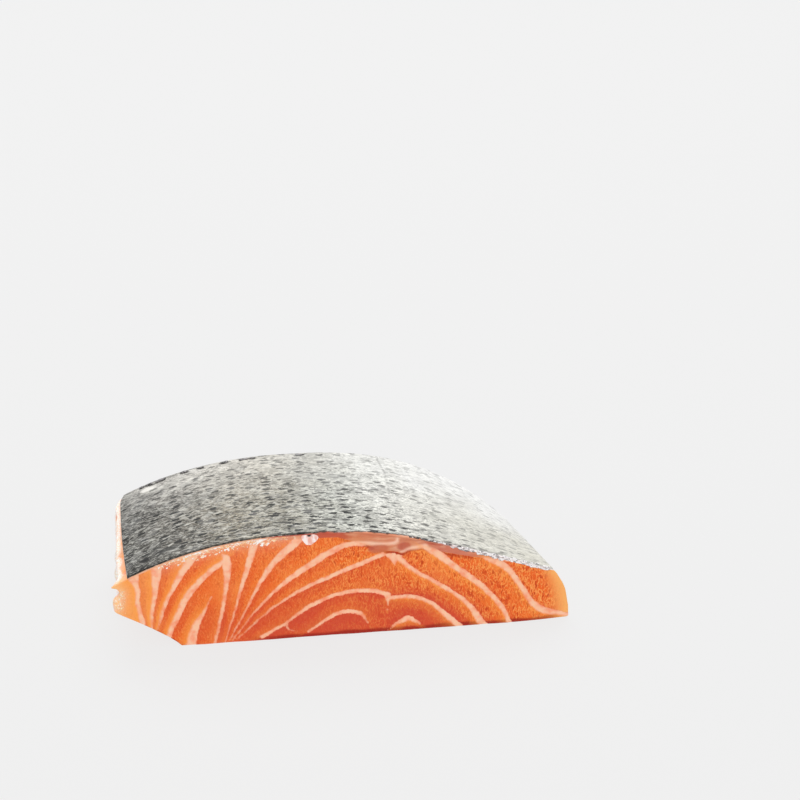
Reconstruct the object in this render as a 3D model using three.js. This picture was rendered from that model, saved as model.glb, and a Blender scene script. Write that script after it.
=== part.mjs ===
// A raw salmon fillet portion, lying skin side up: one slice cut across a side of salmon.
// X runs across the side, from the fish's back (-X) to its belly (+X). Y runs along the fish, from the
// front knife cut (-Y) to the rear one (+Y). Z is up, and the bone side lies flat at z = 0. Millimetres.
import * as THREE from "three";
import { mergeVertices } from "three/addons/utils/BufferGeometryUtils.js";

// Overall size.
const LENGTH = 133; // from the back trim's nose to the foot of the belly trim
const WIDTH = 53; // between the two knife cuts

// Skin side, as heights above the table. A pair holds the value at the front cut and the one at the rear cut.
const CREST_HEIGHT = 34.3; // the thickest place
const CREST_X = -13;
const BACK_EDGE_X = [-61.5, -62];
const BACK_EDGE_HEIGHT = [23.5, 24.2];
const BACK_FALL = [2.3, 2.05]; // power of the curve from the crest to the back edge
const BELLY_EDGE_X = [61, 56.5];
const BELLY_EDGE_HEIGHT = [17.2, 8.2];
const BELLY_FALL = [1.85, 2.65];
const BELLY_SWELL = [0.5, 0]; // the loin is a little fuller, and the flank a little hollower, than that curve
const SKIN_THICKNESS = 0.9;
const SKIN_GAP = 0.2; // between the flesh and the skin on it

// Back trim: the flesh stands out past the skin as a shoulder over a blunt nose, and is cut away beneath.
const SHOULDER = [4, 2]; // how far the flesh reaches past the edge of the skin
const NOSE_SWELL = 1; // fullness of the trimmed face between the nose and the shoulder
const NOSE_X = [(NOSE_SWELL - LENGTH) / 2, -64.2];
const NOSE_HEIGHT = [12, 9.5];
const UNDERCUT_X = -47.2; // where the underside leaves the table
const UNDERCUT_RISE = 0.8; // power of its rise towards the nose
const FLAKES = 6; // ends of flakes along each trimmed face
const FLAKE_STEP = 0.9; // how far one flake stands past the next there
const FLAKE_LEAN = 0.35; // of a flake, from the foot of a trimmed face to its top
const TRIM_REACH = 8; // power that keeps the shape of the trimmed faces near the ends

// Belly trim.
const FOOT_X = [LENGTH / 2, 60.5];
const BELLY_TRIM_SWELL = 1;

// Knife cuts.
const CUT_ROUND = [1.2, 2.8]; // how far a cut falls back at its two ends
const CUT_ROUND_POWER = 6; // of the distance from the middle
const CUT_DISH = 0.35; // depth of the shallow hollows between flakes
const FAN_FOOT_X = -31; // the flakes of the loin fan out from here, at the table
const FAN_FLAKES = 11; // in the half turn above the table
const EDGE_FADE = 6; // the hollows fade out within this height of the table and the skin
const SOFT_EDGE = 0.5; // how far the flesh draws in along the table

// Mesh divisions along X, Y and Z.
const ACROSS = 42;
const ALONG = 18;
const UP = 9;

const { lerp, clamp } = THREE.MathUtils;
const between = ([front, rear], v) => lerp(front, rear, v);

// Height of the skin's outer face. v is 0 at the front cut and 1 at the rear one.
function skinHeight(x, v) {
  if (x < CREST_X) {
    const t = (CREST_X - x) / (CREST_X - between(BACK_EDGE_X, v));
    return CREST_HEIGHT - (CREST_HEIGHT - between(BACK_EDGE_HEIGHT, v)) * t ** between(BACK_FALL, v);
  }
  const t = (x - CREST_X) / (between(BELLY_EDGE_X, v) - CREST_X);
  const drop = (CREST_HEIGHT - between(BELLY_EDGE_HEIGHT, v)) * t ** between(BELLY_FALL, v);
  return CREST_HEIGHT - drop + between(BELLY_SWELL, v) * Math.sin(2 * Math.PI * t);
}

// Height of the underside, which is on the table except beneath the nose.
function undersideHeight(x, v) {
  const t = clamp((UNDERCUT_X - x) / (UNDERCUT_X - between(NOSE_X, v)), 0, 1);
  return between(NOSE_HEIGHT, v) * t ** UNDERCUT_RISE;
}

// Flakes end in shallow saw teeth, 0 to 1, where a face is trimmed across them.
function flakeTooth(v, w) {
  const phase = FLAKES * v + FLAKE_LEAN * w;
  return phase - Math.floor(phase);
}

// Depth of the hollows between the fanned flakes on a knife cut, fading out towards its edges.
function flakeHollow(x, z) {
  const angle = Math.atan2(z, x - FAN_FOOT_X);
  const hollow = CUT_DISH * (0.5 - 0.5 * Math.cos(2 * FAN_FLAKES * angle));
  const fade = clamp(z / EDGE_FADE, 0, 1) * clamp((skinHeight(x, 0.5) - z) / EDGE_FADE, 0, 1);
  return hollow * fade;
}

// Y of a point that lies v of the way from the front cut to the rear one.
function alongFish(x, z, v) {
  const towardsEnd = Math.abs((2 * x) / LENGTH) ** CUT_ROUND_POWER;
  const hollow = flakeHollow(x, z);
  const front = -WIDTH / 2 + CUT_ROUND[0] * towardsEnd + hollow;
  const rear = WIDTH / 2 - CUT_ROUND[1] * towardsEnd - hollow;
  return lerp(front, rear, v);
}

// The flesh as a bent block: u runs from back to belly, v from front to rear, w from the table to the skin.
function fleshPoint(u, v, w) {
  const topX = lerp(between(BACK_EDGE_X, v) - between(SHOULDER, v), between(BELLY_EDGE_X, v), u);
  const topZ = skinHeight(topX, v) - SKIN_THICKNESS - SKIN_GAP;
  const baseX = lerp(between(NOSE_X, v), between(FOOT_X, v), u);
  const z = lerp(undersideHeight(baseX, v), topZ, w);
  const fullness = Math.sin(Math.PI * w);
  const tooth = FLAKE_STEP * flakeTooth(v, w);
  const nose = (NOSE_SWELL - tooth) * fullness * (1 - u) ** TRIM_REACH;
  const belly = (BELLY_TRIM_SWELL - tooth) * fullness * u ** TRIM_REACH;
  const x = lerp(baseX, topX, w) - nose + belly;
  const drawnIn = w === 0 ? lerp(SOFT_EDGE, -SOFT_EDGE, v) : 0;
  return new THREE.Vector3(x, alongFish(x, z, v) + drawnIn, z);
}

// The skin as a thin block laid on the flesh: w runs from its inner face to its outer one.
function skinPoint(u, v, w) {
  const x = lerp(between(BACK_EDGE_X, v), between(BELLY_EDGE_X, v), u);
  const z = skinHeight(x, v);
  return new THREE.Vector3(x, alongFish(x, z, v), z - SKIN_THICKNESS * (1 - w));
}

// A box of the given divisions, with each corner moved to where the shape function puts it.
function bentBlock(shape, across, along, up) {
  const box = new THREE.BoxGeometry(1, 1, 1, across, along, up);
  box.deleteAttribute("normal");
  box.deleteAttribute("uv");
  const block = mergeVertices(box);
  const place = block.getAttribute("position");
  for (let i = 0; i < place.count; i++) {
    const moved = shape(place.getX(i) + 0.5, place.getY(i) + 0.5, place.getZ(i) + 0.5);
    place.setXYZ(i, moved.x, moved.y, moved.z);
  }
  block.computeVertexNormals();
  return block;
}

function makeFlesh() {
  const material = new THREE.MeshStandardMaterial({ color: 0xe8703a, roughness: 0.4, metalness: 0 });
  const flesh = new THREE.Mesh(bentBlock(fleshPoint, ACROSS, ALONG, UP), material);
  flesh.name = "flesh";
  return flesh;
}

function makeSkin() {
  const material = new THREE.MeshStandardMaterial({ color: 0x9b9d97, roughness: 0.35, metalness: 0.2 });
  const skin = new THREE.Mesh(bentBlock(skinPoint, ACROSS, ALONG, 1), material);
  skin.name = "skin";
  return skin;
}

const fillet = new THREE.Group();
fillet.add(makeFlesh(), makeSkin());

export default fillet;
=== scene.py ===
"""A raw salmon fillet portion, lying skin side up on a pale table.

The flesh is one dense block bent to the portion's form, marked with the fat lines that part its flakes.
The skin is a thin sheet, and its scales are laid in rows over it.
Lengths are in millimetres until a mesh is made, and X, Y and Z are those of the CAD model.
"""
import math

import bmesh
import bpy
import numpy as np
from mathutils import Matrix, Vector, noise


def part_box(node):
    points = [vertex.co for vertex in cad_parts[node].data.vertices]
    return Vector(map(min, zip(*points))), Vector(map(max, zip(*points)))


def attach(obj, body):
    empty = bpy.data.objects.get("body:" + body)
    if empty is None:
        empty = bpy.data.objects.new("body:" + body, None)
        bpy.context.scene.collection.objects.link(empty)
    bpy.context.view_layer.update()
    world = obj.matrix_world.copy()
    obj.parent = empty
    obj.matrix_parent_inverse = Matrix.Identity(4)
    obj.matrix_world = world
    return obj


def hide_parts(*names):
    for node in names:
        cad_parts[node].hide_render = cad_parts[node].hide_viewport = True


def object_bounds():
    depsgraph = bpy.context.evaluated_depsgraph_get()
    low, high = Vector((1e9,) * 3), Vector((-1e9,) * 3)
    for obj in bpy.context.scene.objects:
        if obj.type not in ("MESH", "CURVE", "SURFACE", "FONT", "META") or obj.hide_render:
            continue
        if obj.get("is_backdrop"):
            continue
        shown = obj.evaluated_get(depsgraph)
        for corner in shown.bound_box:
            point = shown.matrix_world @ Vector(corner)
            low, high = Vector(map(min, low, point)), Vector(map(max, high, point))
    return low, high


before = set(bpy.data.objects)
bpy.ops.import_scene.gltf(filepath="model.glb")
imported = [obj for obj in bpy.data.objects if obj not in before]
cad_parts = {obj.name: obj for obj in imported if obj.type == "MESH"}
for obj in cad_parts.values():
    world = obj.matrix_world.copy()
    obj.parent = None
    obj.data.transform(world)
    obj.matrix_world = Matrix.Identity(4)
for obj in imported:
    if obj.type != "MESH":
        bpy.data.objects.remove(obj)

CAD_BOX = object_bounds()
METRES = 0.001

# ---------------------------------------------------------------- sizes of the portion, as in the CAD model

FLESH_LOW, FLESH_HIGH = (np.array(corner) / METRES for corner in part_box("flesh"))
LENGTH = 2 * FLESH_HIGH[0]
WIDTH = FLESH_HIGH[1] - FLESH_LOW[1]

# A pair holds the value at the front cut and the value at the rear cut.
CREST_HEIGHT = 34.3
CREST_X = -13
BACK_EDGE_X = (-61.5, -62)
BACK_EDGE_HEIGHT = (23.5, 24.2)
BACK_FALL = (2.3, 2.05)
BELLY_EDGE_X = (61, 56.5)
BELLY_EDGE_HEIGHT = (17.2, 8.2)
BELLY_FALL = (1.85, 2.65)
BELLY_SWELL = (0.5, 0)
SKIN_THICKNESS = 0.9

SHOULDER = (4, 2)
NOSE_SWELL = 1
NOSE_X = ((NOSE_SWELL - LENGTH) / 2, -64.2)
NOSE_HEIGHT = (12, 9.5)
UNDERCUT_X = -47.2
UNDERCUT_RISE = 0.8
FLAKES = 6
FLAKE_STEP = 0.9
FLAKE_LEAN = 0.35
TRIM_REACH = 8
FOOT_X = (LENGTH / 2, 60.5)
BELLY_FULLNESS = (2.1, 0.7)
CUT_ROUND = (1.2, 2.8)
CUT_ROUND_POWER = 6
CORNER_ROUND = 2.2
EDGE_BOW = 0.55  # of the skin's edge along the back

# ---------------------------------------------------------------- the fat lines

# Each line runs from its top to its foot through points on the front cut, as (X, height, breadth).
# From cut to cut along the fish each line grows into the next of its family, so a family starts with a
# line that is being born and ends with one that has run out.
FLAKE_PITCH = WIDTH / FLAKES

BACK_LINES = [
    [(-68.5, 24, 1.5), (-66.5, 18.5, 1.5), (-66.5, 12, 1.2), (-65, 8, 0.8)],
    [(-60, 24.2, 3.4), (-59.4, 19.5, 1.6), (-58.8, 14, 1.4), (-57.9, 8, 1.6)],
    [(-53.2, 25.5, 3.2), (-53.9, 20, 1.9), (-55, 12, 1.1), (-55.4, 6, 0.6)],
    [(-42.3, 30, 2.6), (-48, 20.5, 1.4), (-51.6, 13, 1), (-53.9, 6, 0.5)],
    [(-33.6, 27, 1.5), (-40, 22, 1.7), (-46, 14.2, 1.9), (-50.6, 3.5, 1.4)],
    [(-38.2, 15.5, 0.3), (-40.3, 10.5, 0.9), (-43, 6, 2.3), (-44.5, 0, 3)],
    [(-40.5, 2, 0), (-41, 1.5, 0), (-41.5, 0.5, 0), (-42, 0, 0)],
]
LOIN_LINES = [
    [(5, 0, 0), (3, 0.5, 0), (1, 0.5, 0), (-1, 0, 0)],
    [(6.6, 3.4, 0.4), (5, 6.3, 1), (2, 7.5, 1.4), (-3, 6.9, 1.2), (-10.5, 1.8, 0.7)],
    [(11.5, 12.7, 1.3), (7, 14.1, 1.3), (-1, 13.8, 1.2), (-9.5, 10.5, 1.1), (-17, 5.4, 0.8), (-24, 1.4, 1.3)],
    [(11, 25.4, 1.5), (1, 21.5, 1.4), (-11, 16.5, 1.1), (-21, 10.4, 0.7), (-31.3, 1, 0.4)],
    [
        (5.8, 28.9, 0.7),
        (1.5, 29.6, 1.5),
        (-3.5, 27.6, 2.1),
        (-9.5, 24, 2),
        (-19.5, 16.5, 1.1),
        (-28, 7, 0.5),
        (-32.3, 0.8, 0.4),
    ],
    [(-13, 31.9, 2.4), (-20.5, 24.5, 1.9), (-26.5, 14.5, 0.7), (-33.2, 0.8, 0.4)],
    [(-25.2, 32.4, 2.4), (-27.6, 24, 1.6), (-31, 12.5, 0.7), (-34.6, 0.4, 0.4)],
    [(-34.6, 28.8, 0.3), (-33.3, 26.3, 2.5), (-33.9, 18, 1.3), (-36, 7, 0.9), (-37.6, 0, 0.6)],
    [(-38, 12, 0), (-38.5, 9, 0), (-40, 5, 0), (-41, 0, 0)],
]
FLANK_LINES = [
    [(18, 0, 0), (19, 0.5, 0), (20, 0.5, 0), (21, 0, 0)],
    [(13.2, 1.1, 0.4), (16, 3.2, 1), (18.3, 4.2, 1.7), (20.2, 3.2, 1), (22, 2.1, 0.5)],
    [(13.2, 11.2, 1.2), (18.5, 11.4, 1.2), (24.5, 9, 1.2), (29.5, 4.5, 1.5), (33.6, 0.3, 2)],
    [(15.6, 23.8, 1.5), (21, 18.9, 1.2), (28, 14.3, 1.2), (35.5, 8, 1.4), (40.6, 0.2, 2.2)],
    [(22.8, 27.4, 1.6), (25.5, 25.6, 2.4), (32, 20, 1.8), (41, 12, 1.5), (46.2, 5, 1.4), (48.3, 0.3, 1.5)],
    [(41.3, 23, 2.8), (48, 17.5, 1.7), (53, 9.5, 1.5), (57.5, 3.9, 2), (66.5, 0.5, 1.1)],
    [(62, 19, 2.6), (66, 13, 2), (68, 9, 2), (72, 3, 1.6)],
]
NOTCHES = [
    [(12.5, 1, 0), (12.5, 0.7, 0), (12.5, 0.3, 0), (12.5, 0, 0)],
    [(12.4, 12.1, 2), (12.6, 11, 1.4), (12.6, 8.6, 0.3)],
    [(14.1, 24.6, 2), (14.4, 23.2, 1.5), (14.7, 21.6, 0.2)],
    [(13.6, 30.5, 2), (13.7, 29.5, 1), (13.8, 29, 0)],
]
BACK_NOTCH_ARM = [
    [(12, 25.3, 0.8), (13.4, 24.5, 1.6), (14.5, 22.2, 0.3)],
    [(12, 29, 0), (13.2, 28.5, 0), (14, 28, 0)],
]
FLANK_NOTCH_ARM = [
    [(16.3, 24.2, 0.9), (15.2, 24.1, 1.5), (14.6, 22.2, 0.3)],
    [(16, 29, 0), (15.2, 28.5, 0), (14.6, 28, 0)],
]
FLECK_OF_FAT = [
    [(12, 7.5, 0.3), (12.4, 7.3, 0.4), (12.9, 7.3, 0.2)],
    [(12, 9, 0), (12.4, 9, 0), (12.9, 9, 0)],
]
BRANCHES = [
    [(-16.8, 5.4, 0.6), (-16.6, 3.6, 0.5), (-15, 2.6, 0.3), (-12.8, 2, 0)],
    [(-17, 3, 0), (-16, 2, 0), (-13.4, 1, 0), (-10, 0.5, 0)],
]
SMALL_FAMILIES = (NOTCHES, BRANCHES, BACK_NOTCH_ARM, FLANK_NOTCH_ARM, FLECK_OF_FAT)
# Strength of the glow beside the lines of each family.
GLOW_OF_FAMILY = [(BACK_LINES, 1), (LOIN_LINES, 0.35), (FLANK_LINES, 0.6)]
GLOW_OF_FAMILY += [(family, 0) for family in SMALL_FAMILIES]
LINE_STEPS = 18
LINE_WANDER = 0.16  # how far a line strays from its smooth course
LINE_WANDER_SPAN = 3

# ---------------------------------------------------------------- small helpers


def lerp(a, b, t):
    return a + (b - a) * t


def between(pair, v):
    return lerp(pair[0], pair[1], v)


def smoothstep(low, high, value):
    t = np.clip((value - low) / (high - low), 0, 1)
    return t * t * (3 - 2 * t)


def bell(value, middle, reach):
    """1 at the middle, and almost nothing at twice the reach from it."""
    return np.exp(-(((value - middle) / reach) ** 2))


def ripple(points, span, seed):
    """Smooth noise from about -1 to 1 at each point, with hills about span across."""
    shift = Vector((seed * 17.3, seed * 5.1, seed * 9.7))
    return np.array([noise.noise(Vector(p) / span + shift) for p in points]) * 1.6


def linear(red, green, blue):
    """A screen colour of 0 to 255 a channel as the RGBA that a shader works in."""
    channels = np.array([red, green, blue]) / 255
    light = np.where(channels <= 0.04045, channels / 12.92, ((channels + 0.055) / 1.055) ** 2.4)
    return (*light, 1.0)


# ---------------------------------------------------------------- the form of the portion


def skin_height(x, v):
    """Height of the skin's outer face. v is 0 at the front cut and 1 at the rear one."""
    back = np.clip((CREST_X - x) / (CREST_X - between(BACK_EDGE_X, v)), 0, None)
    belly = np.clip((x - CREST_X) / (between(BELLY_EDGE_X, v) - CREST_X), 0, None)
    back_drop = (CREST_HEIGHT - between(BACK_EDGE_HEIGHT, v)) * back ** between(BACK_FALL, v)
    belly_drop = (CREST_HEIGHT - between(BELLY_EDGE_HEIGHT, v)) * belly ** between(BELLY_FALL, v)
    return CREST_HEIGHT - back_drop - belly_drop + between(BELLY_SWELL, v) * np.sin(2 * np.pi * belly)


def back_edge(v):
    """X of the skin's edge along the back, which turns inward at the rear corner."""
    bow = EDGE_BOW * np.sin(np.pi * np.clip(v, 0, 1))
    return between(BACK_EDGE_X, v) - bow + CORNER_ROUND * np.clip((v - 0.88) / 0.12, 0, 1) ** 2


def underside_height(x, v):
    t = np.clip((UNDERCUT_X - x) / (UNDERCUT_X - between(NOSE_X, v)), 0, 1)
    return between(NOSE_HEIGHT, v) * t**UNDERCUT_RISE


def cut_at(x, which):
    """Y of the front cut (which = 0) or the rear cut (which = 1)."""
    towards_end = np.abs(2 * x / LENGTH) ** CUT_ROUND_POWER
    reach = WIDTH / 2 - CUT_ROUND[which] * towards_end
    return reach if which else -reach


def flesh_point(u, v, w):
    """The smooth flesh block: u from back to belly, v from front to rear, w from the table to the skin."""
    top_x = lerp(back_edge(v) - between(SHOULDER, v), between(BELLY_EDGE_X, v), u)
    top_z = skin_height(top_x, v) - SKIN_THICKNESS
    base_x = lerp(between(NOSE_X, v), between(FOOT_X, v), u)
    z = lerp(underside_height(base_x, v), top_z, w)
    fullness = np.sin(np.pi * w)
    phase = FLAKES * v + FLAKE_LEAN * w
    tooth = FLAKE_STEP * (phase - np.floor(phase)) * smoothstep(1, 0.8, phase - np.floor(phase))
    nose = (NOSE_SWELL - tooth) * fullness * (1 - u) ** TRIM_REACH
    belly = (between(BELLY_FULLNESS, v) * np.sin(np.pi * w**1.4) ** 0.7 - tooth * fullness) * u**TRIM_REACH
    x = lerp(base_x, top_x, w) - nose + belly
    y = lerp(cut_at(x, 0), cut_at(x, 1), v)
    return np.stack([x, y, z], -1)


def block_lattice(steps_u, steps_v, steps_w):
    """The surface of a unit block as (parameters, quads), from the division marks along its three sides."""
    marks = [np.asarray(steps) for steps in (steps_u, steps_v, steps_w)]
    last = [len(m) - 1 for m in marks]
    keys, quads = {}, []

    def corner(i, j, k):
        return keys.setdefault((i, j, k), len(keys))

    for axis in range(3):
        a, b = (axis + 1) % 3, (axis + 2) % 3
        for side in (0, last[axis]):
            for i in range(last[a]):
                for j in range(last[b]):
                    ring = []
                    for di, dj in ((0, 0), (1, 0), (1, 1), (0, 1)):
                        place = [0, 0, 0]
                        place[axis], place[a], place[b] = side, i + di, j + dj
                        ring.append(corner(*place))
                    quads.append(ring if side else ring[::-1])
    index = np.array(list(keys))
    return np.stack([marks[axis][index[:, axis]] for axis in range(3)], -1), quads


def soften(unit, size, radius):
    """Rounds the edges of a block of that size, of which unit holds the points from 0 to 1."""
    point = unit * size
    radius = np.broadcast_to(np.asarray(radius, float), len(unit))[:, None]
    inner = np.clip(point, radius, size - radius)
    out = point - inner
    reach = np.linalg.norm(out, axis=1, keepdims=True)
    rounded = np.where(reach > 1e-9, inner + out / np.maximum(reach, 1e-9) * radius, point)
    return rounded / size


def make_mesh(name, points, faces):
    mesh = bpy.data.meshes.new(name)
    mesh.from_pydata((np.asarray(points) * METRES).tolist(), [], faces)
    mesh.update()
    mesh.shade_smooth()
    return mesh


def keep_values(mesh, **layers):
    """Keeps values for each point in the mesh, where its material finds them by name."""
    for name, values in layers.items():
        layer = mesh.attributes.new(name, "FLOAT", "POINT")
        layer.data.foreach_set("value", np.asarray(values, np.float32))


def add_object(name, data):
    made = bpy.data.objects.new(name, data)
    bpy.context.scene.collection.objects.link(made)
    return made


def place_piece(name, mesh, material):
    piece = add_object(name, mesh)
    mesh.materials.clear()
    mesh.materials.append(material)
    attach(piece, "root")
    return piece


# ---------------------------------------------------------------- where the fat lines run


def smooth_course(points, steps):
    """Places and breadths along a smooth curve through a line's points, evenly spaced."""
    knots = np.array(points, float)
    ends = np.vstack([2 * knots[0] - knots[1], knots, 2 * knots[-1] - knots[-2]])
    fine = []
    for i in range(len(knots) - 1):
        a, b, c, d = ends[i : i + 4]
        for t in np.linspace(0, 1, 12, endpoint=i == len(knots) - 2):
            curve = 2 * b + (c - a) * t + (2 * a - 5 * b + 4 * c - d) * t**2 + (3 * b - a - 3 * c + d) * t**3
            fine.append(curve / 2)
    fine = np.array(fine)
    run = np.concatenate([[0], np.cumsum(np.linalg.norm(np.diff(fine[:, :2], axis=0), axis=1))])
    marks = np.linspace(0, run[-1], steps)
    return np.stack([np.interp(marks, run, fine[:, axis]) for axis in range(3)], -1)


def distance_to_lines(section, depth, family):
    """The nearest line of the family to each point of a cross-section at a depth behind the front cut.

    Gives the distance from the line's edge, the side that the point lies on (-1 towards the back, 1 towards
    the belly) and how broad the line is there.
    """
    courses = np.array([smooth_course(points, LINE_STEPS) for points in family])
    t = (depth / FLAKE_PITCH) % 1
    nearest = np.full(len(section), 1e3)
    side = np.zeros(len(section))
    breadth = np.zeros(len(section))
    for line in range(len(family) - 1):
        course = lerp(courses[line], courses[line + 1], t[:, None, None])
        for step in range(LINE_STEPS - 1):
            start, end = course[:, step], course[:, step + 1]
            along = (end - start)[:, :2]
            offset = section - start[:, :2]
            share = np.clip((offset * along).sum(1) / np.maximum((along**2).sum(1), 1e-9), 0, 1)
            broad = np.clip(lerp(start[:, 2], end[:, 2], share), 0, None)
            beyond = np.linalg.norm(offset - share[:, None] * along, axis=1) - broad / 2
            closer = beyond < nearest
            nearest = np.where(closer, beyond, nearest)
            cross = along[:, 0] * offset[:, 1] - along[:, 1] * offset[:, 0]
            side = np.where(closer, np.sign(cross), side)
            breadth = np.where(closer, broad, breadth)
    return nearest, side, breadth


# ---------------------------------------------------------------- node trees


class Tree:
    """A short way to write node trees: node() adds a node, sets its fields and joins or sets its inputs.

    A colour that goes into a tree is a socket, or a screen colour of 0 to 255 a channel.
    """

    def __init__(self, tree):
        self.tree = tree
        self.columns = 0

    def node(self, kind, inputs=None, **fields):
        made = self.tree.nodes.new(kind)
        self.columns += 1
        made.location = (180 * (self.columns % 9), -220 * (self.columns // 9))
        for field, value in fields.items():
            setattr(made, field, value)
        self.feed_all(made.inputs, inputs or {})
        return made

    def find(self, sockets, name):
        """A socket by its number, or by its name among those in use."""
        if isinstance(name, int):
            return sockets[name]
        return next(socket for socket in sockets if socket.name == name and socket.enabled)

    def feed(self, socket, value):
        if isinstance(value, bpy.types.NodeSocket):
            self.tree.links.new(value, socket)
        else:
            socket.default_value = value

    def feed_all(self, sockets, values):
        for name, value in values.items():
            self.feed(self.find(sockets, name), value)

    def math(self, operation, *values):
        return self.node("ShaderNodeMath", dict(enumerate(values)), operation=operation).outputs[0]

    def chain(self, operation, values):
        made = values[0]
        for value in values[1:]:
            made = self.math(operation, made, value)
        return made

    def plus(self, *values):
        return self.chain("ADD", values)

    def minus(self, value, less):
        return self.math("SUBTRACT", value, less)

    def times(self, *values):
        return self.chain("MULTIPLY", values)

    def most(self, *values):
        return self.chain("MAXIMUM", values)

    def vector(self, operation, *values):
        return self.node("ShaderNodeVectorMath", dict(enumerate(values)), operation=operation)

    def mix(self, share, low, high):
        made = self.node("ShaderNodeMix", data_type="RGBA")
        for socket, value in ((0, share), (6, low), (7, high)):
            self.feed(made.inputs[socket], linear(*value) if isinstance(value, tuple) else value)
        return made.outputs[2]

    def noise(self, vector, scale, detail=3.0, roughness=0.5, distortion=0.0):
        inputs = {"Vector": vector, "Scale": scale, "Detail": detail, "Roughness": roughness}
        inputs["Distortion"] = distortion
        return self.node("ShaderNodeTexNoise", inputs).outputs["Fac"]

    def stretch(self, vector, scale=(1, 1, 1), turn=(0, 0, 0)):
        return self.node("ShaderNodeMapping", {"Vector": vector, "Scale": scale, "Rotation": turn}).outputs[0]

    def warp(self, vector, scale, reach):
        """Bends what is drawn at the vector, so that its lines waver."""
        stray = self.node("ShaderNodeTexNoise", {"Vector": vector, "Scale": scale, "Detail": 2.0})
        return self.vector("MULTIPLY_ADD", stray.outputs["Color"], reach, vector).outputs[0]

    def ramp(self, value, low, high):
        """0 at low, 1 at high, and smooth between."""
        inputs = {0: value, 1: low, 2: high}
        return self.node("ShaderNodeMapRange", inputs, interpolation_type="SMOOTHSTEP").outputs[0]

    def crest(self, value, reach, top):
        """1 where noise passes through its middle value, which draws thin winding lines."""
        return self.ramp(self.math("ABSOLUTE", self.minus(value, 0.5)), reach, top)

    def colours(self, across, stops):
        """Blends from colour to colour along X, each given with its X in millimetres."""
        first, last = stops[0][0], stops[-1][0]
        share = self.node("ShaderNodeMapRange", {0: across, 1: first * METRES, 2: last * METRES}).outputs[0]
        made = self.node("ShaderNodeValToRGB", {0: share})
        elements = made.color_ramp.elements
        while len(elements) < len(stops):
            elements.new(0.5)
        for element, (place, colour) in zip(elements, stops):
            element.position, element.color = (place - first) / (last - first), linear(*colour)
        return made.outputs[0]

    def place(self):
        return self.node("ShaderNodeTexCoord").outputs["Object"]

    def split(self, vector):
        return self.node("ShaderNodeSeparateXYZ", {0: vector}).outputs

    def kept(self, name):
        """The values that keep_values kept in the mesh under that name."""
        return self.node("ShaderNodeAttribute", attribute_name=name).outputs["Fac"]

    def group(self, group, place, **inputs):
        values = {"Vector": place, **{name.replace("_", " "): value for name, value in inputs.items()}}
        return self.node("ShaderNodeGroup", values, node_tree=group).outputs


def new_material(name):
    material = bpy.data.materials.new(name)
    material.use_nodes = True
    material.node_tree.nodes.clear()
    tree = Tree(material.node_tree)
    surface = tree.node("ShaderNodeBsdfPrincipled")
    tree.node("ShaderNodeOutputMaterial", {"Surface": surface.outputs[0]})
    return material, tree, surface.inputs


def new_shader_group(name, outputs, **inputs):
    """A group with the place to draw at and further values as inputs."""
    group = bpy.data.node_groups.new(name, "ShaderNodeTree")
    group.interface.new_socket("Vector", in_out="INPUT", socket_type="NodeSocketVector")
    for socket, default in inputs.items():
        name = socket.replace("_", " ")
        made = group.interface.new_socket(name, in_out="INPUT", socket_type="NodeSocketFloat")
        made.default_value = default
    for socket, kind in outputs.items():
        group.interface.new_socket(socket, in_out="OUTPUT", socket_type=kind)
    tree = Tree(group)
    return group, tree, tree.node("NodeGroupInput").outputs, tree.node("NodeGroupOutput").inputs


def make_wet_film_group():
    """Moisture on a cut or scaled surface: where the film is thick the surface is smoother."""
    outputs = {"Roughness": "NodeSocketFloat"}
    group, tree, given, result = new_shader_group(
        "wet film", outputs, Bead_Scale=900.0, Dry_Roughness=0.5, Wet_Roughness=0.2
    )
    broad = tree.noise(given["Vector"], 160.0, 2.0)
    beads = tree.noise(given["Vector"], given["Bead Scale"], 2.0, 0.6)
    film = tree.ramp(tree.plus(tree.times(broad, 0.6), tree.times(beads, 0.4)), 0.4, 0.62)
    dry, wet = given["Dry Roughness"], given["Wet Roughness"]
    tree.feed(result["Roughness"], tree.minus(dry, tree.times(film, tree.minus(dry, wet))))
    return group


WET_FILM = make_wet_film_group()


def finish_moist(tree, surface, place, colour, height, film, bump, ior):
    """Joins up the colour, the relief and the wet film of a moist surface."""
    strength, distance = bump
    relief = tree.node("ShaderNodeBump", {"Strength": strength, "Distance": distance, "Height": height})
    beads, dry, wet = film
    film = tree.group(WET_FILM, place, Bead_Scale=beads, Dry_Roughness=dry, Wet_Roughness=wet)
    tree.feed_all(surface, {"Base Color": colour, "Roughness": film["Roughness"]})
    tree.feed_all(surface, {"Normal": relief.outputs[0], "IOR": ior, "Specular IOR Level": 0.35})


# ---------------------------------------------------------------- flesh

FLESH_CELL = 0.43  # width of a mesh cell along X
FAN_CELL = 0.24  # and where the fine lines of the fan meet
FAN_X = (-39, -19)
FLESH_ALONG = 38
FLESH_UP = 84
FLESH_DEPTH = 27  # middling height of the block, for rounding its edges
EDGE_ROUND = 0.8
TOP_ROUND = 0.1  # under the skin the edges stay sharp
NOSE_ROUND = 1.3
CUT_RELIEF = 0.45
LINE_GROOVE = 0.12
GRAIN_RELIEF = 0.07
TRIM_RELIEF = 0.7
TRIM_HOLLOW = 1.3  # depth that the trimmed back face falls back between its two ends
TRIM_WAIST = 1.9  # and below the shoulder at its front end
FLAP_REACH = 1  # of the small flap at the front end of the shoulder

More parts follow.
